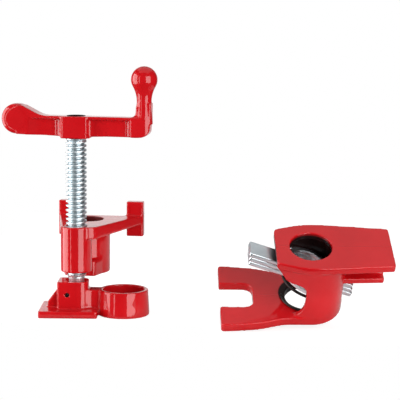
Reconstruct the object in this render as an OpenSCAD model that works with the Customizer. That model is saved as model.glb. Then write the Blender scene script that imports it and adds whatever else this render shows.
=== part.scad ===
// Woodworking pipe clamp for 3/4 inch pipe: the screw head with its sliding
// jaw, standing up, and the quick-release tail stop lying beside it.
// Millimetres, +Z up. The origin is on the axis of the sliding jaw's pipe
// ring, on the surface that the set stands on.

/* [Pipe and screw] */
// Outside diameter of the pipe that both fixtures run on
pipe_d = 26.67; // [26.4:0.01:26.8]
// Radial play of the pipe in the sliding jaw's ring
ring_play = 0.715; // [0.4:0.005:0.9]
// Radial play of the pipe in the tail stop
tail_play = 0.215; // [0.15:0.005:0.4]
// Distance from the screw's axis to the pipe's axis
axis_gap = 32; // [31.5:0.1:33]
// Outside diameter of the screw
screw_d = 14; // [13:0.1:14.5]
// Radial running clearance of turning and sliding fits
run_fit = 0.05; // [0.03:0.01:0.08]
// Diameter of the pipe socket's tapped hole
socket_hole_d = 24.2; // [23.5:0.1:24.6]

/* [Sliding jaw] */
// Thickness of the clamping plate
jaw_plate_t = 4.7; // [4.2:0.1:5.5]
// Width of the clamping plate, front to back
jaw_plate_w = 35; // [33:0.5:37]
// Reach of the plate beyond the screw's axis, away from the pipe
jaw_plate_out = 24.5; // [23:0.5:26]
// Reach of the plate from the screw's axis towards the pipe
jaw_plate_in = 15.2; // [14.8:0.1:15.8]
// Height of the boss that holds the screw's tip
jaw_boss_h = 23; // [22:0.5:25]
// Width of the boss, front to back
jaw_boss_w = 18; // [17:0.5:19.5]
// Height of the pipe ring
ring_h = 17.3; // [16:0.1:18.5]
// Wall of the pipe ring at its top edge
ring_wall = 2.6; // [2.3:0.1:3.2]
// Diameter of the roll pin that keeps the screw in the jaw
pin_d = 3; // [2.5:0.1:3.2]

/* [Head casting] */
// Gap between the screw boss and the sliding jaw's boss, as the screw stands
head_gap = 6.3; // [6.2:0.1:8]
// Angle of the head casting about the screw, from the sliding jaw's line
head_turn = 83.5; // [75:0.5:90]
// Length of the screw boss
head_boss_h = 30.9; // [29:0.1:33]
// Outside diameter of the screw boss
head_boss_d = 21; // [20.5:0.1:22]
// Outside diameter of the pipe socket
socket_d = 33.8; // [33:0.1:34.2]
// How far the socket reaches below the screw boss
socket_drop = 5.8; // [5:0.1:8]
// Thickness of the foot plate at its toes
foot_t = 6; // [5:0.1:7]
// Extra thickness of the foot plate at the screw boss
foot_slope = 2.4; // [1:0.1:3]
// Distance from the screw's axis to the foot's end
foot_len = 59.5; // [58.5:0.5:62]
// Length of a toe pad along the foot
pad_len = 7.5; // [6:0.1:8]
// Width of a toe pad
pad_w = 12; // [10:0.1:12.5]
// Height of a toe pad above the foot plate
pad_up = 9.7; // [8:0.1:11]
// Depth of a toe pad below the foot plate
pad_down = 9; // [7:0.1:10]
// Distance of the right toe's outer edge from the middle line
toe_right = 37.2; // [36:0.1:38]
// Distance of the left toe's outer edge from the middle line
toe_left = 23.8; // [23.5:0.1:26]

/* [Crank handle] */
// Height of the handle's hub
hub_h = 14.8; // [14:0.1:16]
// Length of the handle's hub along the arms
hub_l = 20; // [19:0.5:22]
// Width of the handle's hub, front to back
hub_w = 15; // [14:0.5:16]
// Height of the arms
arm_h = 13.4; // [12.5:0.1:14]
// Width of the arms across their flanges
arm_w = 12; // [11:0.1:13]
// Distance from the hub to the paddle's centre
paddle_arm = 40.5; // [39:0.5:41.5]
// Diameter of the paddle
paddle_d = 20.5; // [19.5:0.1:21]
// Thickness of the paddle
paddle_t = 12.4; // [11:0.1:13]
// Distance from the hub to the post
post_arm = 46.4; // [44:0.1:46.5]
// Diameter of the ball on the post
ball_d = 17.8; // [17:0.1:19]
// Height of the ball's centre above the underside of the arms
ball_rise = 38.3; // [36:0.1:40]
// Angle of the crank about the screw
crank_turn = -10; // [-30:1:0]
// Height of the handle above the sliding jaw's boss
handle_rise = 96.7; // [94:0.1:100]

/* [Tail stop] */
// Height of the tail stop from its jaw face to the back of its foot
tail_h = 48.3; // [47.5:0.1:50]
// Thickness of the jaw plate
tail_jaw_t = 5; // [4.6:0.1:5.6]
// Reach of the jaw from the pipe's axis
tail_jaw_len = 52.6; // [50:0.5:55]
// Half width of the jaw at its tip
tail_jaw_tip = 18.9; // [18:0.1:20]
// Half width of the jaw at the pipe
tail_jaw_mid = 22.6; // [22.4:0.1:23.5]
// Reach of the jaw plate behind the pipe's axis
tail_jaw_back = 22.7; // [22:0.1:24]
// Radius of the cage that joins jaw and foot
cage_r = 22.3; // [22.2:0.1:23]
// Wall of the cage
cage_wall = 4; // [3.6:0.1:4.2]
// Thickness of the forked foot
fork_t = 6.1; // [5.6:0.1:6.6]
// Reach of the forked foot from the pipe's axis
fork_len = 56.6; // [55:0.5:58]
// Half width of the fork at its end
fork_half = 29.3; // [28:0.1:31]
// Half width of the fork's slot
slot_half = 11.4; // [10.5:0.1:12]
// Distance from the pipe's axis to the bottom of the slot
slot_end = 34.6; // [34:0.1:36]

/* [Clutch] */
// Number of clutch discs
disc_count = 3; // [3:1:3]
// Thickness of one disc
disc_t = 3; // [2.8:0.05:3.05]
// Gap between neighbouring discs
disc_gap = 0.3; // [0.25:0.05:0.35]
// Radius of a disc's round body
disc_r = 17.6; // [17.4:0.1:17.7]
// Radial play of the pipe in a disc
disc_play = 0.865; // [0.7:0.005:0.95]
// Width of the tabs
tab_w = 12.6; // [11.5:0.1:13]
// Length of the release tab from the disc's centre
tab_out = 42.6; // [41:0.1:44]
// Length of the short tab from the disc's centre
tab_in = 31; // [30:0.1:32]
// Tilt of the discs as the spring holds them
disc_tilt = 21; // [20:0.5:21.5]
// Diameter of the spring's wire
wire_d = 1.9; // [1.6:0.1:2]
// Turns of the spring
spring_turns = 2; // [2:1:2]

/* [Hidden] */
$fn = 64;

paint_red = [0.78, 0.03, 0.05];
zinc = [0.80, 0.82, 0.84];
dark_steel = [0.16, 0.15, 0.15];

// A cut runs this far past the face that it opens.
past = 1;
// Pieces that rest on each other at one place lie this far apart.
seat = 0.3;
// Steps of a rounded outline corner.
corner_steps = 5;

pipe_r = pipe_d / 2;
ring_r = pipe_r + ring_play;
tail_bore_r = pipe_r + tail_play;

// Screw tip and its pin, in the sliding jaw.
tip_r = 5.2;
tip_floor = 5;
neck_r = 4;
pin_z = 14.2;
pin_side = neck_r + 0.2 + pin_d / 2;
pin_fit = 0.02;
neck_h = pin_d + 0.4;
mouth_r = tip_r + 2.4;
mouth_h = 1.6;
boss_side = 8.5;
boss_back = 12.5;
ring_draft = 0.9;
bridge_w = 11;

// Heights of the head casting, from the floor.
head_z = jaw_boss_h + head_gap;
head_top = head_z + head_boss_h;
socket_z = head_z - socket_drop;
foot_z = head_top - foot_t;
band_h = 11;
socket_web = 11;
notch_u = foot_len - pad_len - 1;
prong_w = pad_w + 2;

// Heights of the handle, from the floor.
hub_z = jaw_boss_h + handle_rise;
arm_z = hub_z + hub_h - arm_h;
arm_top = arm_z + arm_h;
paddle_z = arm_z + paddle_d / 2 + 0.6;
shank_r = 5;
peen_r = 6.25;
peen_h = 1.2;
cone_seat = 1.2;
cone_gap = 2;
flange_t = 1.9;
web_t = 5;
recess_r = 5;
ramp_l = 13;
post_base_r = 5.9;
post_neck_r = 5;
neck_drop = 14.3;
neck_flare = (neck_drop * neck_drop + post_neck_r * post_neck_r - ball_d * ball_d / 4)
             / (ball_d - 2 * post_neck_r);
elbow_r = 8;
elbow_out = 4.6;
elbow_rib_out = 5.2;
elbow_rib_half = 4.2;
elbow_rib_up = 9.5;
rim_r = 3.5;

// Side view of the crank's arms, from the paddle round to the elbow.
arm_profile = [[-paddle_arm, paddle_z - paddle_d / 2, 0], [-hub_l, arm_z, 3],
               [0, arm_z - 0.8, 0], [hub_l, arm_z, 3],
               [post_arm + elbow_out, arm_z, elbow_r],
               [post_arm + elbow_out, arm_top, 0],
               [0, arm_top, 0], [-paddle_arm + 17.5, arm_top, 4],
               [-paddle_arm + 4.7, paddle_z + paddle_d / 2 - 1.2, 0],
               [-paddle_arm, paddle_z + paddle_d / 2 - 1, 0]];

// Tail stop, in its own frame: the pipe's axis is Z, the jaw face is z = 0.
tail_tilt = [29.6, 0.6, 2.8];
tail_x = 122.6;
tail_y = -45.6;
fork_top = fork_t - tail_h;
cage_x = 2;
cage_in = cage_r - cage_wall;
window_half = tab_w / 2 + 0.7;
cage_end = 16.6;
rib_web = 5;
rib_root_half = 10.5;
rib_tip_half = 8;
rib_foot_t = 4;
rib_tip_z = -23.9;
rib_tip_x = tail_jaw_len - 3.6;
lip_len = 4;

// Height of the tail stop's frame, so that the fork's near corner stands on
// the floor.
tail_z = -(sin(tail_tilt[1]) * fork_len
           - cos(tail_tilt[1]) * sin(tail_tilt[0]) * fork_half
           - cos(tail_tilt[1]) * cos(tail_tilt[0]) * tail_h) - 0.05;

// Discs, in the tail stop's frame. The short tabs' ends stay where they are
// when the release tabs are pressed.
disc_hole_r = pipe_r + disc_play;
disc_x = 0.9;
disc_z = -16.5;
disc_step = disc_t + disc_gap;
window_top = disc_z - (cage_in + cage_x - disc_x) * tan(disc_tilt) + 0.9;
lip_out = tail_jaw_back - 1.5;
lip_z = disc_z + (lip_out + disc_x) * tan(disc_tilt) + seat;

// The spring fills the wedge between the foot and the lowest disc.
coil_r = tail_bore_r + 0.7 + wire_d;
rings_per_turn = 24;
wire_sides = 6;

// One rounded corner: a curve from one side to the next, from points a, b, c.
function corner(a, b, c, r) =
    let (u = (a - b) / norm(a - b), w = (c - b) / norm(c - b),
         p = b + u * min(r, norm(a - b) * 0.49),
         q = b + w * min(r, norm(c - b) * 0.49))
    r <= 0 ? [b] :
    [for (i = [0:corner_steps])
        let (t = i / corner_steps)
        (1 - t) * (1 - t) * p + 2 * t * (1 - t) * b + t * t * q];

// An outline of [x, y, r] points, each corner rounded over the length r.
function outline(pts) =
    let (n = len(pts))
    [for (i = [0:n - 1])
        let (a = pts[(i + n - 1) % n], b = pts[i], c = pts[(i + 1) % n])
        for (p = corner([a[0], a[1]], [b[0], b[1]], [c[0], c[1]], b[2])) p];

// Half an outline and its mirror image across the X axis.
function both_sides(half) =
    concat(half, [for (i = [len(half) - 1:-1:0]) [half[i][0], -half[i][1], half[i][2]]]);

// A block whose upright edges are rounded over r, from corner to corner.
module upright_block(x0, x1, y0, y1, z0, z1, r) {
    translate([0, 0, z0])
        linear_extrude(z1 - z0)
            polygon(outline([[x0, y0, r], [x1, y0, r], [x1, y1, r], [x0, y1, r]]));
}

// A side profile in X and Z, as thick as w about the middle plane.
module side_profile(pts, w) {
    translate([0, w / 2, 0])
        rotate([90, 0, 0])
            linear_extrude(w)
                polygon(outline(pts));
}

module at_screw() {
    translate([-axis_gap, 0, 0]) children();
}

module at_head() {
    at_screw() rotate([0, 0, head_turn]) children();
}

module at_tail() {
    translate([tail_x, tail_y, tail_z]) rotate(tail_tilt) children();
}

// ---------------------------------------------------------------- head side

module sliding_jaw() {
    color(paint_red)
        difference() {
            union() {
                at_screw() {
                    upright_block(-jaw_plate_out, jaw_plate_in, -jaw_plate_w / 2,
                                  jaw_plate_w / 2, 0, jaw_plate_t, 2);
                    translate([0, 0, jaw_plate_t - past])
                        linear_extrude(jaw_boss_h - jaw_plate_t + past)
                            polygon(outline([[-boss_back, -jaw_boss_w / 2, 1.5],
                                             [boss_side, -jaw_boss_w / 2, 7],
                                             [boss_side, jaw_boss_w / 2, 7],
                                             [-boss_back, jaw_boss_w / 2, 1.5]]));
                    side_profile([[-jaw_plate_out + 5, jaw_plate_t - past, 0],
                                  [-jaw_plate_out + 5, jaw_plate_t + 3.6, 1],
                                  [-boss_back - 1, jaw_boss_h - 6.5, 1],
                                  [-boss_back + past, jaw_boss_h - 6.5, 0],
                                  [-boss_back + past, jaw_plate_t - past, 0]], 5);
                }
                linear_extrude(ring_h)
                    polygon(outline([[boss_side - axis_gap - 3, -jaw_boss_w / 2 + 1, 0],
                                     [boss_side - axis_gap + 1.5, -bridge_w / 2, 3],
                                     [-ring_r - 1, -bridge_w / 2, 2],
                                     [-ring_r + 1.5, -bridge_w / 2 - 3, 0],
                                     [-ring_r + 1.5, bridge_w / 2 + 3, 0],
                                     [-ring_r - 1, bridge_w / 2, 2],
                                     [boss_side - axis_gap + 1.5, bridge_w / 2, 3],
                                     [boss_side - axis_gap - 3, jaw_boss_w / 2 - 1, 0]]));
                cylinder(r1 = ring_r + ring_wall + ring_draft, r2 = ring_r + ring_wall,
                         h = ring_h);
            }
            translate([0, 0, -past]) cylinder(r = ring_r, h = ring_h + 2 * past);
            at_screw() {
                translate([0, 0, tip_floor])
                    cylinder(r = tip_r + run_fit, h = jaw_boss_h);
                translate([0, 0, jaw_boss_h - mouth_h])
                    cylinder(r1 = tip_r + run_fit, r2 = mouth_r, h = mouth_h + 0.001);
                translate([-pin_side, 0, pin_z]) rotate([90, 0, 0])
                    cylinder(r = pin_d / 2, h = jaw_boss_w + 2 * past, center = true);
            }
        }
}

// A rolled spring pin: a tube with a slot along it.
module roll_pin() {
    color(zinc)
        at_screw() translate([-pin_side, 0, pin_z]) rotate([90, 0, 0])
            difference() {
                cylinder(r = pin_d / 2 - pin_fit, h = jaw_boss_w - 0.6, center = true);
                cylinder(r = pin_d / 2 - 0.75, h = jaw_boss_w, center = true);
                translate([-pin_d, -0.3, -jaw_boss_w / 2])
                    cube([pin_d, 0.6, jaw_boss_w]);
            }
}

module screw() {
    cone_z = jaw_boss_h + cone_seat;
    cone_h = head_gap - cone_gap;
    color(zinc)
        at_screw()
            difference() {
                union() {
                    translate([0, 0, tip_floor + seat])
                        cylinder(r = tip_r, h = cone_z - tip_floor - seat);
                    translate([0, 0, cone_z])
                        cylinder(r1 = tip_r, r2 = screw_d / 2, h = cone_h);
                    translate([0, 0, cone_z + cone_h])
                        cylinder(r = screw_d / 2, h = hub_z - cone_z - cone_h);
                    translate([0, 0, hub_z])
                        cylinder(r = shank_r, h = hub_h);
                    translate([0, 0, hub_z + hub_h])
                        cylinder(r = peen_r, h = peen_h);
                }
                translate([0, 0, pin_z - neck_h / 2])
                    difference() {
                        cylinder(r = screw_d, h = neck_h);
                        translate([0, 0, -past]) cylinder(r = neck_r, h = neck_h + 2 * past);
                    }
            }
}

// The crank: arms with a flange along their top edge, a flat paddle, and an
// upright post with a ball.
module crank_handle() {
    color(paint_red)
        at_screw() rotate([0, 0, crank_turn])
            difference() {
                union() {
                    intersection() {
                        side_profile(arm_profile, arm_w);
                        arm_plan();
                    }
                    upright_block(-hub_l / 2, hub_l / 2, -hub_w / 2, hub_w / 2,
                                  hub_z, hub_z + hub_h, 3);
                    post();
                    elbow_rib();
                    paddle();
                }
                arm_recess(-paddle_arm + paddle_d / 2 - 5, -hub_l / 2 + 1, ramp_l);
                arm_recess(hub_l / 2 - 1, post_arm - elbow_r, 0);
                translate([0, 0, hub_z - past])
                    cylinder(r = shank_r + pin_fit, h = hub_h + 2 * past);
            }
}

// Plan of the arms, round at the elbow.
module arm_plan() {
    translate([0, 0, hub_z - arm_h])
        linear_extrude(3 * arm_h) {
            translate([post_arm, 0]) circle(r = arm_w / 2);
            translate([-paddle_arm - 1, -arm_w / 2]) square([paddle_arm + post_arm + 1, arm_w]);
        }
}

// Upright post on the elbow. Its neck flares smoothly into the ball.
module post() {
    ball_z = arm_z + ball_rise;
    neck_x = post_neck_r + neck_flare;
    meet = atan2(neck_drop, neck_x);
    translate([post_arm, 0, 0])
        rotate_extrude()
            polygon(concat([[0, arm_top - elbow_out], [post_base_r, arm_top - elbow_out]],
                           [for (i = [0:4])
                               let (a = 180 - meet * i / 4)
                               [neck_x + neck_flare * cos(a),
                                ball_z - neck_drop + neck_flare * sin(a)]],
                           [for (i = [1:10])
                               let (a = -meet + (90 + meet) * i / 10)
                               [ball_d / 2 * cos(a) * (i < 10 ? 1 : 0),
                                ball_z + ball_d / 2 * sin(a)]]));
}

// The flat rib on the outer side of the elbow, and the fillet on its inner side.
module elbow_rib() {
    upright_block(post_arm, post_arm + elbow_rib_out, -elbow_rib_half, elbow_rib_half,
                  arm_top - elbow_out, arm_top + elbow_rib_up, 0.8);
    side_profile([[post_arm, arm_top - 1, 0], [post_arm, arm_top + elbow_r, 0],
                  [post_arm - post_neck_r, arm_top + elbow_r, 0],
                  [post_arm - post_neck_r, arm_top, recess_r],
                  [post_arm - post_neck_r - elbow_r, arm_top, 0],
                  [post_arm - post_neck_r - elbow_r, arm_top - 1, 0]],
                 2 * elbow_rib_half);
}

// The flat round end of the crank, its rim rounded.
module paddle() {
    flat_r = paddle_d / 2 - rim_r;
    half = paddle_t / 2;
    translate([-paddle_arm, 0, paddle_z])
        rotate([90, 0, 0])
            rotate_extrude()
                polygon(concat([[0, -half]],
                               [for (a = [-90:15:90])
                                   [flat_r + rim_r * cos(a),
                                    sign(a) * (half - rim_r) + rim_r * sin(a)]],
                               [[0, half]]));
}

// The hollow on both faces of an arm, under its flange. Its ends are round in
// plan, and it can start with a ramp.
module arm_recess(x0, x1, ramp) {
    for (side = [-1, 1])
        translate([0, 0, arm_z - arm_h])
            linear_extrude(2 * arm_h - flange_t)
                polygon(outline([[x0, side * (paddle_t / 2 + past), 0],
                                 [x0, side * arm_w, 0], [x1, side * arm_w, 0],
                                 [x1, side * web_t / 2, recess_r],
                                 [x0 + ramp, side * web_t / 2, recess_r]]));
}

// The head casting: screw boss, pipe socket and a foot with two toes. In its
// own frame X runs from the screw's axis to the pipe's axis.
module head_casting() {
    color(paint_red)
        at_head()
            difference() {
                union() {
                    translate([0, 0, head_z])
                        cylinder(r = head_boss_d / 2, h = head_boss_h);
                    translate([axis_gap, 0, socket_z])
                        cylinder(r = socket_d / 2, h = head_top - socket_z);
                    upright_block(0, axis_gap, -socket_web / 2, socket_web / 2,
                                  head_z, foot_z + past, 0);
                    socket_band();
                    foot_plate();
                    toe_pad(-toe_right);
                    toe_pad(toe_left - pad_w);
                }
                translate([0, 0, head_z - past])
                    cylinder(r = screw_d / 2 + run_fit, h = head_boss_h + 2 * past);
                translate([axis_gap, 0, socket_z - past])
                    cylinder(r = socket_hole_d / 2, h = head_top - socket_z + 2 * past);
            }
}

// The foot plate, thicker towards the screw boss.
module foot_plate() {
    start = -head_boss_d / 2 - past;
    intersection() {
        translate([0, 0, foot_z - foot_slope])
            linear_extrude(foot_t + foot_slope) foot_outline();
        side_profile([[start, head_top, 0], [foot_len + past, head_top, 0],
                      [foot_len + past, foot_z, 0], [start, foot_z - foot_slope, 0]],
                     4 * toe_right);
    }
}

// The foot widens from the screw boss to two toes with a notch between.
module foot_outline() {
    front = head_boss_d / 2;
    polygon(outline([[-front * 0.5, -front - 3.4, 5],
                     [foot_len - pad_len, -toe_right + 1.2, 2],
                     [foot_len, -toe_right, 1],
                     [foot_len, -toe_right + pad_w, 1],
                     [foot_len - pad_len, -toe_right + prong_w, 1],
                     [notch_u, -toe_right + prong_w + 1, 4],
                     [notch_u, toe_left - prong_w - 1, 4],
                     [foot_len - pad_len, toe_left - prong_w, 1],
                     [foot_len, toe_left - pad_w, 1],
                     [foot_len, toe_left, 1],
                     [foot_len - pad_len, toe_left - 0.6, 2],
                     [0, front, 4],
                     [-front * 0.9, front * 0.3, 3]]));
}

// The band round the foot of the socket, thickened towards the screw boss.
module socket_band() {
    half = socket_d / 2 - 1.2;
    translate([0, 0, socket_z])
        linear_extrude(band_h)
            polygon(outline([[head_boss_d / 2 + 0.6, -half * 0.66, 2],
                             [axis_gap, -half - 1.1, 0],
                             [axis_gap, half + 1.1, 0],
                             [head_boss_d / 2 + 0.6, half * 0.66, 2]]));
}

// A toe pad stands across the end of a prong, above and below the plate.
module toe_pad(v0) {
    upright_block(foot_len - pad_len, foot_len, v0, v0 + pad_w,
                  foot_z - pad_down, head_top + pad_up, 1.2);
}

// ---------------------------------------------------------------- tail side

module tail_casting() {
    color(paint_red)
        at_tail()
            difference() {
                union() {
                    translate([0, 0, -tail_jaw_t]) linear_extrude(tail_jaw_t) jaw_outline();
                    translate([0, 0, -tail_h]) linear_extrude(fork_t) fork_outline();
                    translate([0, 0, -tail_h])
                        linear_extrude(tail_h - tail_jaw_t + past)
                            cage_outline(cage_r, cage_end, tail_jaw_back - 0.4);
                    jaw_rib();
                }
                translate([0, 0, fork_top])
                    linear_extrude(-tail_jaw_t - fork_top)
                        cage_outline(cage_in, cage_end - cage_wall, tail_jaw_back + past);
                translate([0, 0, -tail_h - past])
                    cylinder(r = tail_bore_r, h = tail_h + 2 * past);
                cage_mouth();
                translate([cage_x, -window_half, fork_top])
                    cube([cage_r + past, 2 * window_half, window_top - fork_top]);
            }
    color(paint_red) at_tail() disc_lip();
}

module jaw_outline() {
    polygon(outline(both_sides([[-tail_jaw_back, tail_jaw_mid - 5.5, 2.5],
                                [-6, tail_jaw_mid - 0.4, 8],
                                [8, tail_jaw_mid, 8],
                                [tail_jaw_len, tail_jaw_tip, 2]])));
}

// Round behind the pipe, with side walls that run out under the jaw plate.
module cage_outline(r, end, reach) {
    translate([cage_x, 0]) circle(r = r);
    polygon(outline(both_sides([[-reach, end, 0], [-6, r - 0.8, 6], [cage_x, r, 0]])));
}

module fork_outline() {
    polygon(outline([[-fork_len, -fork_half, 2.5],
                     [-fork_len, -slot_half, 1],
                     [-slot_end, -slot_half, 7],
                     [-slot_end, slot_half, 7],
                     [-fork_len, slot_half, 1],
                     [-fork_len, fork_half, 2.5],
                     [-slot_end + 3, fork_half - 2, 8],
                     [-16, cage_r, 6],
                     [cage_x, cage_r, 0],
                     [cage_x, -cage_r, 0],
                     [-16, -cage_r, 6],
                     [-slot_end + 3, -fork_half + 2, 8]]));
}

// The way in for the release tabs: the cage is open away from the jaw, under
// a gusset that runs out to the end of the jaw plate.
module cage_mouth() {
    left = -tail_jaw_back - past;
    side_profile([[left, -tail_jaw_t, 0],
                  [-tail_jaw_back + 1, -tail_jaw_t, 0],
                  [-tail_jaw_back + 7.5, -tail_jaw_t - 9.6, 3],
                  [-3, -tail_jaw_t - 12, 5],
                  [-2.4, fork_top + 8, 8],
                  [-7.8, fork_top, 4],
                  [left, fork_top, 0]], 2 * cage_r + 2 * past);
}

// A deep rib under the jaw: a web on the middle plane with a foot along it
// that narrows towards the jaw's tip.
module jaw_rib() {
    root = cage_x + cage_in + 1;
    foot_z0 = window_top + 0.4;
    side_profile([[root, -tail_jaw_t + past, 0], [root, foot_z0, 0],
                  [rib_tip_x, rib_tip_z, 1.5], [rib_tip_x, -tail_jaw_t + past, 0]], rib_web);
    intersection() {
        side_profile([[root, foot_z0, 0], [rib_tip_x, rib_tip_z, 1],
                      [rib_tip_x, rib_tip_z + rib_foot_t, 1],
                      [root, foot_z0 + rib_foot_t, 0]], 3 * rib_root_half);
        translate([0, 0, -tail_h])
            linear_extrude(tail_h)
                polygon(outline(both_sides([[root, rib_root_half, 0],
                                            [rib_tip_x, rib_tip_half, 1]])));
    }
}

// A lip across the open end, under the jaw plate, that stops the top disc.
module disc_lip() {
    half = cage_end - cage_wall + 0.5;
    translate([-lip_out, -half, lip_z])
        cube([lip_len, 2 * half, -lip_z - tail_jaw_t + 0.5]);
}

// One clutch disc: a round body with a release tab and a short tab, lying
// under the discs above it.
module clutch_disc(i) {
    half = tab_w / 2;
    color(zinc)
        at_tail() translate([disc_x, 0, disc_z]) rotate([0, disc_tilt, 0])
            translate([i * disc_step * tan(disc_tilt), 0, -i * disc_step - disc_t])
                difference() {
                    linear_extrude(disc_t)
                        union() {
                            circle(r = disc_r);
                            polygon(outline([[-tab_out, -half, 1.5], [0, -half, 0],
                                             [0, half, 0], [-tab_out, half, 1.5]]));
                            polygon(outline([[0, -half, 0], [tab_in, -half, 1.5],
                                             [tab_in, half, 1.5], [0, half, 0]]));
                        }
                    translate([0, 0, -past]) cylinder(r = disc_hole_r, h = disc_t + 2 * past);
                }
}

module clutch_disc_top() { clutch_disc(0); }
module clutch_disc_middle() { clutch_disc(1); }
module clutch_disc_bottom() { clutch_disc(2); }

// Height of the lowest disc's underside over the foot, at x.
function wedge(x) =
    disc_z - (x - disc_x) * tan(disc_tilt)
    - (disc_count * disc_t + (disc_count - 1) * disc_gap) / cos(disc_tilt) - fork_top;

// How far up the wedge the wire is at turn t. It lies on the foot along the
// front, climbs behind the pipe, and then lies under the lowest disc.
function climb(t) =
    let (u = min(max((t - 0.5) / 0.5, 0), 1), low_slope = 0.06, high_slope = 0.15)
    low_slope * min(t, 0.5) + (1 - high_slope - low_slope / 2) * u * u * (3 - 2 * u)
    + high_slope * max(t - 1, 0);

// Point on the spring's centre line, at turn t from its lower end.
function coil_point(t) =
    let (a = 360 * t + 180, x = coil_r * cos(a), low = wire_d / 2 + seat / 2)
    [x, coil_r * sin(a), fork_top + low + climb(t) * (wedge(x) - 2.3 * low)];

coil_points = [for (i = [0:rings_per_turn * spring_turns])
                  coil_point(i / rings_per_turn)];

// Least gap between one turn of the wire and the next.
spring_gap = min([for (i = [0:len(coil_points) - 1 - rings_per_turn + 3])
                     for (j = [i + rings_per_turn - 3:min(i + rings_per_turn + 3, len(coil_points) - 1)])
                         norm(coil_points[i] - coil_points[j])]) - wire_d;

function unit(v) = v / norm(v);

// A six-sided tube along a list of points, as one closed mesh.
module tube(path, d, sides) {
    n = len(path);
    function along(i) = unit(path[min(i + 1, n - 1)] - path[max(i - 1, 0)]);
    rings = [for (i = [0:n - 1])
                let (t = along(i), out = unit([path[i][0], path[i][1], 0]),
                     side = unit(out - t * (out * t)), up = cross(t, side))
                for (k = [0:sides - 1])
                    path[i] + d / 2 * (cos(360 * k / sides) * side + sin(360 * k / sides) * up)];
    walls = [for (i = [0:n - 2]) for (k = [0:sides - 1])
                let (a = i * sides + k, b = i * sides + (k + 1) % sides)
                for (f = [[a, a + sides, b], [b, a + sides, b + sides]]) f];
    ends = [for (k = [1:sides - 2])
               for (f = [[0, k, k + 1],
                         [(n - 1) * sides, (n - 1) * sides + k + 1, (n - 1) * sides + k]]) f];
    polyhedron(concat(rings), concat(walls, ends), convexity = 8);
}

module clutch_spring() {
    echo(spring_gap = spring_gap);
    color(dark_steel) at_tail() tube(coil_points, wire_d, wire_sides);
}

sliding_jaw();
roll_pin();
screw();
crank_handle();
head_casting();
tail_casting();
clutch_disc_top();
clutch_disc_middle();
clutch_disc_bottom();
clutch_spring();
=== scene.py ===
"""The looks of a woodworking pipe clamp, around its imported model.

Red castings with rounded edges and filled corners, a screw with its thread
cut, zinc plated discs and a dark spring, on a white studio floor.
Lengths are in metres, in the model's own frame.
"""

import math

import bmesh
import bpy
from mathutils import Matrix, Vector

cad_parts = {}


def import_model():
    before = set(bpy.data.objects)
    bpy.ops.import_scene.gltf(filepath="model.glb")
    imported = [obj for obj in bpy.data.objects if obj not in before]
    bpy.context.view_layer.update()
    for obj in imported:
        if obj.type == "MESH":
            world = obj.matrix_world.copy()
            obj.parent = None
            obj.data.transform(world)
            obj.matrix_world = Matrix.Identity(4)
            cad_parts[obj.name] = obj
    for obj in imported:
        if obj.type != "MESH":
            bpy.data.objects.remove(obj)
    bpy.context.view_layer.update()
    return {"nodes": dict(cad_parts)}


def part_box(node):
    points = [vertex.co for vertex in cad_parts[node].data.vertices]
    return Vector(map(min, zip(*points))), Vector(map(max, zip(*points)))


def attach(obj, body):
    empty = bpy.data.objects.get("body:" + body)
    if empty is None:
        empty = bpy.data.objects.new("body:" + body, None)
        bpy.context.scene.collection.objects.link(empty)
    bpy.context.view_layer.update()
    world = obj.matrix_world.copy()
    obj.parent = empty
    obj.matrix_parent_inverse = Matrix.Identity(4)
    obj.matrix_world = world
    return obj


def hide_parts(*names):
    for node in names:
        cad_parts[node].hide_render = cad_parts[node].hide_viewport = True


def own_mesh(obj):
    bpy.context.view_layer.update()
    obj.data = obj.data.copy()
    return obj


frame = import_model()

MM = 0.001

# Screw: its place and radius from the solid's box, its plain parts as part.scad has them,
# and a thread about as deep as the photograph shows.
SCREW_LOW, SCREW_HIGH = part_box("screw")
SCREW_X = (SCREW_LOW[0] + SCREW_HIGH[0]) / 2
SCREW_Y = (SCREW_LOW[1] + SCREW_HIGH[1]) / 2
SCREW_R = (SCREW_HIGH[0] - SCREW_LOW[0]) / 2
THREAD_LEAD = 3.0 * MM
THREAD_DEPTH = 1.45 * MM
THREAD_FROM_Z = 28.0 * MM
THREAD_CREST, THREAD_FLANK = 0.36, 0.14
CREST_INSIDE = 0.03 * MM
TIP_END_R = 4.4 * MM
TIP_BEVEL = 0.8 * MM
TIP_R = 5.2 * MM
GROOVE_R = 4.0 * MM
GROOVE_LOW, GROOVE_HIGH = 12.5 * MM, 15.9 * MM
CONE_LOW, CONE_HIGH = 24.2 * MM, 28.5 * MM
SHOULDER_Z = SCREW_HIGH[2] - 16.0 * MM
SHANK_R = 5.0 * MM
PEEN_Z = SCREW_HIGH[2] - 1.2 * MM
PEEN_R = 6.25 * MM
PEEN_EDGE = 0.20 * MM
PEEN_TOP = 0.35 * MM
PEEN_BEVEL = 0.7 * MM
SCREW_SIDES = 64
ROWS_PER_TURN = 14

# Camera, from the photograph's framing.
CAMERA_PLACE = (0.0512, -0.880, 0.2023)
CAMERA_PITCH = 8.0
CAMERA_ROLL = 0.6
LENS_FOCUS_PX = 1321.0
PHOTO_PX = 400.0
SENSOR_MM = 36.0

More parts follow.
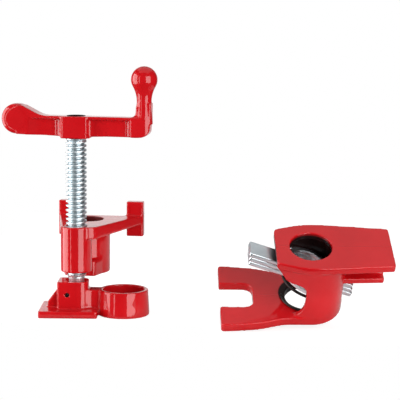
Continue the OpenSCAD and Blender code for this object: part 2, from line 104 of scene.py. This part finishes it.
# Castings' own frames and what lies in them, as part.scad has it.
TAIL_PLACE = (0.1226, -0.0456, 0.055823)
TAIL_TURN = (29.6, 0.6, 2.8)
CAGE_X = 2.0 * MM
CAGE_INNER_R = 19.1 * MM
MOUTH_SLOPE = 0.277
MOUTH_HALF = 19.6 * MM
FORK_TOP = -42.2 * MM
TAIL_BORE_R = 13.55 * MM
# Painted shade inside the tail stop: the red of its cage, its bore and a ring round the bore
# where the spring sits is painted dark. Below: how far under the jaw's top it fades in, the
# margin past the walls, and the ring's shift, radius, fade and depth.
SHADE_FADE_DEPTH = 2.5 * MM
SHADE_MARGIN = 0.3 * MM
SEAT_SHIFT = 2.0 * MM
SEAT_R = 15.4 * MM
SEAT_FADE = 0.6 * MM
SEAT_DEPTH = 1.2 * MM
DISC_TILT = 21.0
DISC_TOP = -16.5 * MM
DISC_X = 0.9 * MM
DISC_PACK = 9.6 * MM
DISC_BEVEL = 0.35 * MM
DISC_SHARP_ANGLE = 40
COIL_R = 16.15 * MM
WIRE_R = 0.95 * MM
SPRING_TURNS = 2.0
SPRING_STEPS = 120
SPRING_FOOT = 1.10 * MM
SPRING_ROOM = 2.53 * MM
WIRE_SIDES = 14
WIRE_END_SHARE = 0.80
HEAD_PLACE = (-0.032, 0.0, 0.0)
HEAD_TURN = (0.0, 0.0, 83.5)
CRANK_TURN = -10.0
AXIS_GAP = 32.0 * MM
SOCKET_R = 12.1 * MM
PIPE_PITCH = 1.814 * MM

# Places in a casting's own frame that get more smoothing: low corner, high corner, rounds.
POST_FOOT = ((0.0340, -0.010, 0.1335), (0.0455, 0.010, 0.1450), 45)
SOCKET_BAND_TOP = ((0.0110, -0.020, 0.0325), (0.0320, 0.020, 0.0385), 60)
SOFT_RIM = 2.5 * MM

# How far the castings' copies are rounded and thinned out.
CAST_VOXEL = 0.45 * MM
CAST_ROUNDS = 10
CAST_KEEP = 0.5

# Colours.
RED_TONES = ((0.57, 0.0045, 0.0080, 1), (0.62, 0.0055, 0.0095, 1), (0.66, 0.0075, 0.0120, 1))
# Painted shade: the dark red inside the tail stop's cage and bore.
CAGE_SHADE = (0.016, 0.006, 0.006, 1)
# Thin paint on the head's tapped socket wall, made darker still as painted shade in the bore.
THIN_PAINT_AND_SHADE = (0.11, 0.010, 0.010, 1)
ZINC_BRIGHT = ((0.70, 0.79, 0.83, 1), (0.82, 0.90, 0.94, 1), (0.90, 0.96, 0.99, 1))
ZINC_SCREW = ((0.72, 0.81, 0.85, 1), (0.83, 0.91, 0.95, 1), (0.91, 0.97, 0.99, 1))
# Painted shade: the darker zinc down in the screw's thread roots.
ZINC_ROOT_SHADE = (0.42, 0.49, 0.52, 1)
OILED_STEEL = ((0.018, 0.015, 0.014, 1), (0.050, 0.044, 0.042, 1))
# The screw's riveted end: dark, matt tones.
DARK_END_TONES = ((0.020, 0.010, 0.010, 1), (0.060, 0.022, 0.022, 1))

# Studio.
SET_MIDDLE = (0.03, 0.0, 0.06)
FLOOR_OUTLINE = ((-0.13, -0.030), (0.052, -0.030), (0.062, -0.080), (0.25, -0.080),
                 (0.25, 0.45), (-0.13, 0.45))
FLOOR_Z = -0.2 * MM
FLOOR_PALE = (0.85, 0.85, 0.85, 1)
FLOOR_SHADE = (0.42, 0.42, 0.42, 1)
FLOOR_GLOW = 0.84
AMBIENT = 0.12

# The bright backdrop that shiny surfaces mirror: where it fades out, as the Y part of a
# direction, and its brightness outside and inside.
BACKDROP_EDGES = (0.80, 0.96)
BACKDROP_LEVELS = (0.03, 1.0)

# Lamps round the set: name, azimuth, distance, width, brightness.
LAMP_HEIGHT = 0.16
LAMP_TALL = 0.90
LAMPS = (("box_right", 36, 0.85, 0.64, 4.2),
         ("box_left", -88, 0.80, 0.80, 4.2),
         ("strip_left", -41, 0.85, 0.065, 4.0))
OVERHEAD_PLACE = (0.05, 0.25, 1.20)
OVERHEAD_SIZE = (1.6, 1.6)
OVERHEAD_LEVEL = 0.55


# --------------------------------------------------------------- materials


class Nodes:
    """Short ways to add and join shader nodes."""

    def __init__(self, name):
        self.material = bpy.data.materials.new(name)
        self.material.use_nodes = True
        self.tree = self.material.node_tree
        self.shader = self.tree.nodes["Principled BSDF"]
        self.place = self.add("ShaderNodeTexCoord").outputs["Object"]

    def add(self, kind, **values):
        node = self.tree.nodes.new(kind)
        for key, value in values.items():
            setattr(node, key, value)
        return node

    def link(self, out, socket):
        self.tree.links.new(out, socket)

    def noise(self, scale, detail=4.0, roughness=0.55, stretch=None):
        node = self.add("ShaderNodeTexNoise")
        node.inputs["Scale"].default_value = scale
        node.inputs["Detail"].default_value = detail
        node.inputs["Roughness"].default_value = roughness
        place = self.place
        if stretch:
            mapping = self.add("ShaderNodeMapping")
            mapping.inputs["Scale"].default_value = stretch
            self.link(place, mapping.inputs["Vector"])
            place = mapping.outputs["Vector"]
        self.link(place, node.inputs["Vector"])
        return node.outputs["Fac"]

    def ramp(self, value, stops):
        node = self.add("ShaderNodeValToRGB")
        ends = node.color_ramp.elements
        ends[0].position, ends[0].color = stops[0][0], stops[0][1]
        ends[1].position, ends[1].color = stops[-1][0], stops[-1][1]
        for position, color in stops[1:-1]:
            ends.new(position).color = color
        self.link(value, node.inputs["Fac"])
        return node.outputs["Color"]

    def spread(self, value, low, high, start=0.3, end=0.7):
        node = self.add("ShaderNodeMapRange")
        node.inputs["From Min"].default_value = start
        node.inputs["From Max"].default_value = end
        node.inputs["To Min"].default_value = low
        node.inputs["To Max"].default_value = high
        self.link(value, node.inputs["Value"])
        return node.outputs["Result"]

    def math(self, operation, a, b=None):
        node = self.add("ShaderNodeMath", operation=operation)
        for i, value in enumerate((a, b)):
            if isinstance(value, (int, float)):
                node.inputs[i].default_value = value
            elif value is not None:
                self.link(value, node.inputs[i])
        return node.outputs[0]

    def local(self, origin, turn):
        """X, Y and Z in a casting's own frame."""
        node = self.add("ShaderNodeMapping", vector_type="TEXTURE")
        node.inputs["Location"].default_value = origin
        node.inputs["Rotation"].default_value = [math.radians(a) for a in turn]
        self.link(self.place, node.inputs["Vector"])
        parts = self.add("ShaderNodeSeparateXYZ")
        self.link(node.outputs["Vector"], parts.inputs[0])
        return parts.outputs

    def length(self, a, b):
        """How far the point (a, b) is from the origin."""
        squares = self.math("ADD", self.math("MULTIPLY", a, a), self.math("MULTIPLY", b, b))
        return self.math("SQRT", squares)

    def mix(self, fac, a, b):
        node = self.add("ShaderNodeMix", data_type="RGBA")
        self.link(fac, node.inputs["Factor"])
        self.link(a, node.inputs["A"])
        if isinstance(b, tuple):
            node.inputs["B"].default_value = b
        else:
            self.link(b, node.inputs["B"])
        return node.outputs["Result"]

    def bump(self, height, strength, distance, after=None):
        node = self.add("ShaderNodeBump")
        node.inputs["Strength"].default_value = strength
        node.inputs["Distance"].default_value = distance
        self.link(height, node.inputs["Height"])
        if after:
            self.link(after, node.inputs["Normal"])
        return node.outputs["Normal"]


def red_paint(name="red_paint", darkened=None, dark_color=None, seam=None):
    """Glossy red paint over a casting: soft waves and fine orange peel.

    The mask and colour arguments after the name give the places painted darker and their
    colour: painted shade inside the tail's cage, and thin paint darkened as shade in the
    head's socket. seam(n) gives the height of the casting's parting line.
    """
    n = Nodes(name)
    tone = n.noise(38.0, detail=5.0)
    color = n.ramp(tone, list(zip((0.30, 0.52, 0.72), RED_TONES)))
    # Painted shade where the mask is set: these places take the dark colour and lose most of
    # the coat.
    if darkened:
        mask = darkened(n)
        color = n.mix(mask, color, dark_color)
        n.link(n.spread(mask, 1.0, 0.15, 0.0, 1.0), n.shader.inputs["Coat Weight"])
    else:
        n.shader.inputs["Coat Weight"].default_value = 1.0
    n.link(color, n.shader.inputs["Base Color"])
    n.link(n.spread(n.noise(160.0), 0.30, 0.45), n.shader.inputs["Roughness"])
    n.shader.inputs["Specular IOR Level"].default_value = 0.06
    n.shader.inputs["Coat Roughness"].default_value = 0.04
    waves = n.bump(n.noise(75.0, detail=2.0), 0.30, 0.0006)
    if seam:
        waves = n.bump(seam(n), 1.0, 0.0003, after=waves)
    peel = n.bump(n.noise(700.0, detail=2.0), 0.05, 0.0001, after=waves)
    n.link(peel, n.shader.inputs["Normal"])
    return n.material


def tail_inside(n):
    """1 inside the tail stop's cage, its pipe hole below the jaw and the spring's seat, where
    the red is painted dark as shade; it fades in below the jaw's top.
    """
    x, y, z = n.local(TAIL_PLACE, TAIL_TURN)[:3]
    mouth_half = n.math("ADD", n.math("MULTIPLY", x, MOUTH_SLOPE), MOUTH_HALF)
    half = n.math("MINIMUM", CAGE_INNER_R, mouth_half)
    inner = n.math("LESS_THAN", n.math("ABSOLUTE", y), half)
    reach = n.length(n.math("SUBTRACT", x, CAGE_X), y)
    behind = n.math("LESS_THAN", reach, CAGE_INNER_R)
    mouth = n.math("LESS_THAN", x, CAGE_X)
    within = n.math("MAXIMUM", behind, n.math("MULTIPLY", inner, mouth))
    above_foot = n.math("GREATER_THAN", z, FORK_TOP + SHADE_MARGIN)
    in_cage = n.math("MULTIPLY", within, above_foot)
    in_bore = n.math("LESS_THAN", n.length(x, y), TAIL_BORE_R + SHADE_MARGIN)
    from_seat = n.length(n.math("ADD", x, SEAT_SHIFT), n.math("SUBTRACT", y, SEAT_SHIFT))
    near_seat = n.spread(from_seat, 1.0, 0.0, SEAT_R, SEAT_R + SEAT_FADE)
    on_seat = n.math("MULTIPLY", near_seat, n.math("GREATER_THAN", z, FORK_TOP - SEAT_DEPTH))
    shaded_area = n.math("MAXIMUM", n.math("MAXIMUM", in_cage, in_bore), on_seat)
    # Painted shade, fading in over the first millimetres below the jaw's top.
    deep = n.spread(z, 1.0, 0.0, -SHADE_FADE_DEPTH, 0.0)
    return n.math("MULTIPLY", deep, shaded_area)


def tail_seam(n):
    """The parting line of the tail casting, along its middle plane."""
    y = n.local(TAIL_PLACE, TAIL_TURN)[1]
    return n.spread(n.math("ABSOLUTE", y), 0.4, 0.0, 0.1 * MM, 0.7 * MM)


def head_socket(n):
    """1 on the wall of the head's pipe socket: thin paint there, darkened further as painted
    shade, and the pipe thread's relief.
    """
    x, y = n.local(HEAD_PLACE, HEAD_TURN)[:2]
    reach = n.length(n.math("SUBTRACT", x, AXIS_GAP), y)
    return n.spread(reach, 1.0, 0.0, SOCKET_R + 0.2 * MM, SOCKET_R + 1.0 * MM)


def socket_thread(n):
    """Height of the pipe thread in the head's socket."""
    x, y, z = n.local(HEAD_PLACE, HEAD_TURN)[:3]
    away = n.math("SUBTRACT", x, AXIS_GAP)
    turn = n.math("DIVIDE", n.math("ARCTAN2", y, away), 2 * math.pi)
    climb = n.math("FRACT", n.math("SUBTRACT", n.math("DIVIDE", z, PIPE_PITCH), turn))
    ridge = n.math("ABSOLUTE", n.math("SUBTRACT", climb, 0.5))
    return n.math("MULTIPLY", ridge, head_socket(n))


def thread_root_shade(n):
    """1 down in the screw's thread roots, where the zinc is painted darker as shade."""
    parts = n.add("ShaderNodeSeparateXYZ")
    n.link(n.place, parts.inputs[0])
    x = n.math("SUBTRACT", parts.outputs[0], SCREW_X)
    y = n.math("SUBTRACT", parts.outputs[1], SCREW_Y)
    deep = n.spread(n.length(x, y), 1.0, 0.0, SCREW_R - THREAD_DEPTH, SCREW_R - 0.15 * MM)
    body = n.math("GREATER_THAN", parts.outputs[2], THREAD_FROM_Z)
    return n.math("MULTIPLY", deep, body)


def zinc(name, tones, rough, grain=(1.0, 0.12, 1.0), painted_shade=None):
    """Bright zinc plating: bluish, a little cloudy, finely scratched.

    Its last argument gives a mask of the places painted darker, as shade.
    """
    n = Nodes(name)
    cloud = n.noise(120.0, detail=6.0)
    color = n.ramp(cloud, list(zip((0.28, 0.50, 0.75), tones)))
    # Painted shade: the masked places take the darker zinc.
    if painted_shade:
        color = n.mix(painted_shade(n), color, ZINC_ROOT_SHADE)
    n.link(color, n.shader.inputs["Base Color"])
    n.shader.inputs["Metallic"].default_value = 1.0
    scratch = n.noise(420.0, detail=2.0, stretch=grain)
    n.link(n.spread(scratch, rough[0], rough[1]), n.shader.inputs["Roughness"])
    n.link(n.bump(scratch, 0.08, 0.00005), n.shader.inputs["Normal"])
    return n.material


def spring_steel():
    """Dark oiled wire."""
    n = Nodes("spring_steel")
    tone = n.noise(220.0, detail=4.0)
    color = n.ramp(tone, list(zip((0.3, 0.7), OILED_STEEL)))
    n.link(color, n.shader.inputs["Base Color"])
    n.shader.inputs["Metallic"].default_value = 0.85
    n.link(n.spread(tone, 0.30, 0.48), n.shader.inputs["Roughness"])
    n.link(n.bump(n.noise(1500.0), 0.15, 0.00005), n.shader.inputs["Normal"])
    return n.material


def dark_end():
    """The screw's riveted end: dark and without shine."""
    n = Nodes("dark_end")
    tone = n.noise(400.0, detail=5.0)
    color = n.ramp(tone, list(zip((0.3, 0.7), DARK_END_TONES)))
    n.link(color, n.shader.inputs["Base Color"])
    n.link(n.spread(tone, 0.55, 0.75), n.shader.inputs["Roughness"])
    n.shader.inputs["Specular IOR Level"].default_value = 0.0
    n.link(n.bump(tone, 0.3, 0.0001), n.shader.inputs["Normal"])
    return n.material


def white_stage():
    """Near white to the camera, darker where the object shades it, and pale for other rays."""
    n = Nodes("white_stage")
    n.shader.inputs["Base Color"].default_value = FLOOR_PALE
    n.shader.inputs["Roughness"].default_value = 0.7
    n.shader.inputs["Specular IOR Level"].default_value = 0.0
    shade = n.add("ShaderNodeBsdfDiffuse")
    shade.inputs["Color"].default_value = FLOOR_SHADE
    glow = n.add("ShaderNodeEmission")
    glow.inputs["Strength"].default_value = FLOOR_GLOW
    seen = n.add("ShaderNodeAddShader")
    n.link(shade.outputs["BSDF"], seen.inputs[0])
    n.link(glow.outputs["Emission"], seen.inputs[1])
    path = n.add("ShaderNodeLightPath")
    both = n.add("ShaderNodeMixShader")
    n.link(path.outputs["Is Camera Ray"], both.inputs["Fac"])
    n.link(n.shader.outputs["BSDF"], both.inputs[1])
    n.link(seen.outputs["Shader"], both.inputs[2])
    n.link(both.outputs["Shader"], n.tree.nodes["Material Output"].inputs["Surface"])
    return n.material


# ------------------------------------------------------------------ pieces


def link(obj):
    """Puts a new object in the scene."""
    bpy.context.scene.collection.objects.link(obj)
    return obj


def baked(obj):
    """Applies the object's modifiers to its mesh."""
    graph = bpy.context.evaluated_depsgraph_get()
    mesh = bpy.data.meshes.new_from_object(obj.evaluated_get(graph))
    obj.modifiers.clear()
    obj.data = mesh


def finish_piece(obj, material, body, replaced):
    """Gives a piece its finish and its body, in place of a CAD node."""
    obj.data.materials.clear()
    obj.data.materials.append(material)
    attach(obj, body)
    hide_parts(replaced)


def smoothed(data, sharp_degrees=None):
    """Smooth shading, but for edges sharper than an angle."""
    data.polygons.foreach_set("use_smooth", [True] * len(data.polygons))
    if sharp_degrees is not None:
        data.set_sharp_from_angle(angle=math.radians(sharp_degrees))


def mesh_through(name, rings):
    """A closed mesh through rings of points that have the same count."""
    mesh = bmesh.new()
    loops = [[mesh.verts.new(point) for point in ring] for ring in rings]
    for lower, upper in zip(loops, loops[1:]):
        for k in range(len(lower)):
            j = (k + 1) % len(lower)
            mesh.faces.new((lower[k], lower[j], upper[j], upper[k]))
    mesh.faces.new(loops[0][::-1])
    mesh.faces.new(loops[-1])
    bmesh.ops.recalc_face_normals(mesh, faces=mesh.faces)
    data = bpy.data.meshes.new(name)
    mesh.to_mesh(data)
    mesh.free()
    return link(bpy.data.objects.new(name, data))


def turned(place, degrees):
    """A frame at a place, turned about Z."""
    return Matrix.Translation(place) @ Matrix.Rotation(math.radians(degrees), 4, "Z")


def soft_group(obj, name, place, low, high):
    """Weights that are 1 in a box of a casting's own frame and fade round it."""
    group = obj.vertex_groups.new(name=name)
    back = place.inverted()
    for vert in obj.data.vertices:
        p = back @ vert.co
        out = max(max(low[k] - p[k], p[k] - high[k]) for k in range(3))
        weight = min(1.0, max(0.0, 1.0 - out / SOFT_RIM))
        if weight > 0:
            group.add([vert.index], weight, "REPLACE")


def cast_copy(node, material, body, place=None, soft=None):
    """A CAD node with the rounded edges and filled corners of a casting.

    soft is a box (low, high, rounds) in the frame place that gets more smoothing.
    """
    obj = link(bpy.data.objects.new(node + "_cast", frame["nodes"][node].data.copy()))
    remesh = obj.modifiers.new("remesh", "REMESH")
    remesh.mode = "VOXEL"
    remesh.voxel_size = CAST_VOXEL
    smooth = obj.modifiers.new("smooth", "SMOOTH")
    smooth.factor = 0.5
    smooth.iterations = CAST_ROUNDS
    baked(obj)
    if soft:
        low, high, rounds = soft
        soft_group(obj, "soft", place, low, high)
        softer = obj.modifiers.new("soft", "SMOOTH")
        softer.vertex_group = "soft"
        softer.iterations = rounds
    fewer = obj.modifiers.new("fewer", "DECIMATE")
    fewer.ratio = CAST_KEEP
    baked(obj)
    smoothed(obj.data)
    finish_piece(obj, material, body, node)


def thread_profile(turn):
    """Depth of the thread below the crest at a part turn, from 0 to 1."""
    t = turn % 1.0
    if t < THREAD_CREST:
        return 0.0
    if t < THREAD_CREST + THREAD_FLANK:
        return (t - THREAD_CREST) / THREAD_FLANK
    if t < 1.0 - THREAD_FLANK:
        return 1.0
    return (1.0 - t) / THREAD_FLANK


def screw_rows():
    """Heights up the screw with the plain radius at each, or None on the thread."""
    rows = [(SCREW_LOW[2], TIP_END_R), (SCREW_LOW[2] + TIP_BEVEL, TIP_R),
            (GROOVE_LOW, TIP_R), (GROOVE_LOW, GROOVE_R),
            (GROOVE_HIGH, GROOVE_R), (GROOVE_HIGH, TIP_R),
            (CONE_LOW, TIP_R)]
    step = THREAD_LEAD / ROWS_PER_TURN
    for i in range(1, int((SHOULDER_Z - CONE_LOW) / step)):
        rows.append((CONE_LOW + i * step, None))
    rows += [(SHOULDER_Z - 0.02 * MM, SHANK_R), (PEEN_Z, SHANK_R), (PEEN_Z, PEEN_R),
             (PEEN_Z + PEEN_EDGE, PEEN_R), (PEEN_Z + PEEN_TOP, PEEN_R - PEEN_BEVEL)]
    return rows


def thread_radius(z, angle):
    """The thread's radius at a height and an angle, cut back by the cone below it."""
    cone = TIP_R + (SCREW_R - TIP_R) * min(1.0, (z - CONE_LOW) / (CONE_HIGH - CONE_LOW))
    depth = THREAD_DEPTH * thread_profile(z / THREAD_LEAD - angle / (2 * math.pi))
    run_out = min(1.0, max(0.0, (SHOULDER_Z - z) / THREAD_LEAD))
    return min(cone, SCREW_R - CREST_INSIDE - depth * run_out)


def threaded_screw(material, end_material):
    """The screw with its trapezoidal thread, its plain tip and its riveted end."""
    rings = []
    for z, plain in screw_rows():
        ring = []
        for k in range(SCREW_SIDES):
            angle = 2 * math.pi * k / SCREW_SIDES
            r = thread_radius(z, angle) if plain is None else plain
            ring.append((SCREW_X + r * math.cos(angle), SCREW_Y + r * math.sin(angle), z))
        rings.append(ring)
    obj = mesh_through("screw_threaded", rings)
    smoothed(obj.data, sharp_degrees=32)
    finish_piece(obj, material, "spindle", "screw")
    obj.data.materials.append(end_material)
    riveted = [int(face.center.z > PEEN_Z + 0.01 * MM) for face in obj.data.polygons]
    obj.data.polygons.foreach_set("material_index", riveted)


def dress_node(node, material):
    """Gives a CAD node that stays as it is its finish."""
    obj = frame["nodes"][node]
    for slot in obj.material_slots:
        slot.material = material


def blanked_disc(node, material, body):
    """A clutch disc with the slightly rounded edges of a stamped blank."""
    obj = link(bpy.data.objects.new(node + "_blank", frame["nodes"][node].data.copy()))
    weld = obj.modifiers.new("weld", "WELD")
    weld.merge_threshold = 0.01 * MM
    flat = obj.modifiers.new("flat", "DECIMATE")
    flat.decimate_type = "DISSOLVE"
    flat.angle_limit = math.radians(1)
    bevel = obj.modifiers.new("bevel", "BEVEL")
    bevel.width = DISC_BEVEL
    bevel.segments = 3
    bevel.limit_method = "ANGLE"
    bevel.angle_limit = math.radians(DISC_SHARP_ANGLE)
    bevel.use_clamp_overlap = True
    baked(obj)
    smoothed(obj.data, sharp_degrees=DISC_SHARP_ANGLE)
    finish_piece(obj, material, body, node)


def tail_frame():
    """The tail stop's own frame, as a matrix."""
    x, y, z = (Matrix.Rotation(math.radians(a), 4, k) for a, k in zip(TAIL_TURN, "XYZ"))
    return Matrix.Translation(TAIL_PLACE) @ z @ y @ x


def spring_climb(turns):
    """How far up the wedge the wire is: flat at first, then steep, then slow."""
    rise = min(1.0, max(0.0, 2 * turns - 1.0))
    eased = rise * rise * (3 - 2 * rise)
    return 0.06 * min(turns, 0.5) + 0.82 * eased + 0.15 * max(turns - 1.0, 0.0)


def spring_points():
    """The wire's centre line: two turns that fill the wedge under the discs."""
    slope = math.tan(math.radians(DISC_TILT))
    pack = DISC_PACK / math.cos(math.radians(DISC_TILT))
    tail = tail_frame()
    points = []
    for i in range(SPRING_STEPS + 1):
        turns = SPRING_TURNS * i / SPRING_STEPS
        angle = 2 * math.pi * turns + math.pi
        x, y = COIL_R * math.cos(angle), COIL_R * math.sin(angle)
        wedge = DISC_TOP - (x - DISC_X) * slope - pack - FORK_TOP
        z = FORK_TOP + SPRING_FOOT + spring_climb(turns) * (wedge - SPRING_ROOM)
        points.append(tail @ Vector((x, y, z)))
    return points


def wound_spring(material):
    """Round wire swept along the spring's line, a little thinner at its two ends."""
    points = spring_points()
    last = len(points) - 1
    up = tail_frame().to_3x3() @ Vector((0, 0, 1))
    rings = []
    for i, point in enumerate(points):
        ahead = (points[min(i + 1, last)] - points[max(i - 1, 0)]).normalized()
        side = ahead.cross(up).normalized()
        over = side.cross(ahead).normalized()
        r = WIRE_R * (WIRE_END_SHARE if i in (0, last) else 1.0)
        turns = [2 * math.pi * k / WIRE_SIDES for k in range(WIRE_SIDES)]
        rings.append([point + r * (side * math.cos(t) + over * math.sin(t)) for t in turns])
    obj = mesh_through("spring_wire", rings)
    smoothed(obj.data)
    finish_piece(obj, material, "fixtures", "clutch_spring")
    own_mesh(obj)


# ------------------------------------------------------------------- stage


def floor():
    """A small floor under the set; its front edge runs just before each fixture."""
    data = bpy.data.meshes.new("floor")
    corners = [(x, y, FLOOR_Z) for x, y in FLOOR_OUTLINE]
    data.from_pydata(corners, [], [range(len(corners))])
    obj = link(bpy.data.objects.new("floor", data))
    obj.data.materials.append(white_stage())


def world():
    """White to the camera, a bright backdrop and a dark front to shiny surfaces."""
    studio = bpy.data.worlds.new("studio")
    bpy.context.scene.world = studio
    studio.use_nodes = True
    tree = studio.node_tree

    def math_node(operation, a, b):
        node = tree.nodes.new("ShaderNodeMath")
        node.operation = operation
        for i, value in enumerate((a, b)):
            if isinstance(value, float):
                node.inputs[i].default_value = value
            else:
                tree.links.new(value, node.inputs[i])
        return node.outputs[0]

    ray = tree.nodes.new("ShaderNodeLightPath").outputs
    parts = tree.nodes.new("ShaderNodeSeparateXYZ")
    tree.links.new(tree.nodes.new("ShaderNodeTexCoord").outputs["Generated"], parts.inputs[0])
    behind = tree.nodes.new("ShaderNodeMapRange")
    behind.inputs["From Min"].default_value = BACKDROP_EDGES[0]
    behind.inputs["From Max"].default_value = BACKDROP_EDGES[1]
    behind.inputs["To Min"].default_value = BACKDROP_LEVELS[0]
    behind.inputs["To Max"].default_value = BACKDROP_LEVELS[1]
    tree.links.new(parts.outputs["Y"], behind.inputs["Value"])
    seen = math_node("MAXIMUM", ray["Is Camera Ray"], ray["Is Transmission Ray"])
    mirrored = math_node("MULTIPLY", ray["Is Glossy Ray"], behind.outputs["Result"])
    filled = math_node("MULTIPLY", ray["Is Diffuse Ray"], AMBIENT)
    level = math_node("MAXIMUM", math_node("MAXIMUM", seen, mirrored), filled)
    back = tree.nodes["Background"]
    back.inputs["Color"].default_value = (1, 1, 1, 1)
    tree.links.new(level, back.inputs["Strength"])


def softbox(name, place, size, radiance):
    """A rectangular lamp that faces the set, at a given surface brightness."""
    lamp = bpy.data.lights.new(name, "AREA")
    lamp.shape = "RECTANGLE"
    lamp.size, lamp.size_y = size
    lamp.energy = radiance * math.pi * size[0] * size[1]
    obj = link(bpy.data.objects.new(name, lamp))
    obj.location = place
    aim = Vector(SET_MIDDLE) - Vector(place)
    obj.rotation_euler = aim.to_track_quat("-Z", "Y").to_euler()
    obj.visible_camera = False


def around(azimuth, distance):
    """A lamp's place; azimuth 0 is the camera's side, + is its right."""
    turn = math.radians(azimuth)
    return (SET_MIDDLE[0] + distance * math.sin(turn), -distance * math.cos(turn), LAMP_HEIGHT)


def lights():
    """Three upright lamps, which the paint mirrors as strips, and a panel overhead."""
    for name, azimuth, distance, width, radiance in LAMPS:
        softbox(name, around(azimuth, distance), (width, LAMP_TALL), radiance)
    softbox("overhead", OVERHEAD_PLACE, OVERHEAD_SIZE, OVERHEAD_LEVEL)


def camera():
    """The photograph's view."""
    data = bpy.data.cameras.new("camera")
    data.sensor_fit = "HORIZONTAL"
    data.sensor_width = SENSOR_MM
    data.lens = LENS_FOCUS_PX / PHOTO_PX * SENSOR_MM
    data.clip_start = 0.05
    data.clip_end = 20.0
    obj = link(bpy.data.objects.new("camera", data))
    obj.location = CAMERA_PLACE
    look = Matrix.Rotation(math.radians(90 - CAMERA_PITCH), 4, "X")
    roll = Matrix.Rotation(math.radians(CAMERA_ROLL), 4, "Z")
    obj.rotation_euler = (look @ roll).to_euler()
    bpy.context.scene.camera = obj


def castings():
    """The four red castings."""
    paint = red_paint()
    tail_paint = red_paint("red_paint_tail", tail_inside, CAGE_SHADE, tail_seam)
    head_paint = red_paint("red_paint_head", head_socket, THIN_PAINT_AND_SHADE, socket_thread)
    cast_copy("sliding_jaw", paint, "fixtures")
    cast_copy("crank_handle", paint, "spindle", turned(HEAD_PLACE, CRANK_TURN), POST_FOOT)
    cast_copy("head_casting", head_paint, "head", turned(HEAD_PLACE, HEAD_TURN[2]),
              SOCKET_BAND_TOP)
    cast_copy("tail_casting", tail_paint, "fixtures")


def steel_pieces():
    """The plated screw and discs, the dark pin and the spring."""
    plating = zinc("zinc_discs", ZINC_BRIGHT, rough=(0.30, 0.42))
    thread = zinc("zinc_screw", ZINC_SCREW, rough=(0.40, 0.50), grain=(1.0, 1.0, 6.0),
                  painted_shade=thread_root_shade)
    dark = spring_steel()
    threaded_screw(thread, dark_end())
    for level in ("top", "middle", "bottom"):
        blanked_disc("clutch_disc_" + level, plating, "disc_" + level)
    dress_node("roll_pin", dark)
    wound_spring(dark)


castings()
steel_pieces()
floor()
world()
lights()
camera()
bpy.context.scene.view_settings.view_transform = "Standard"
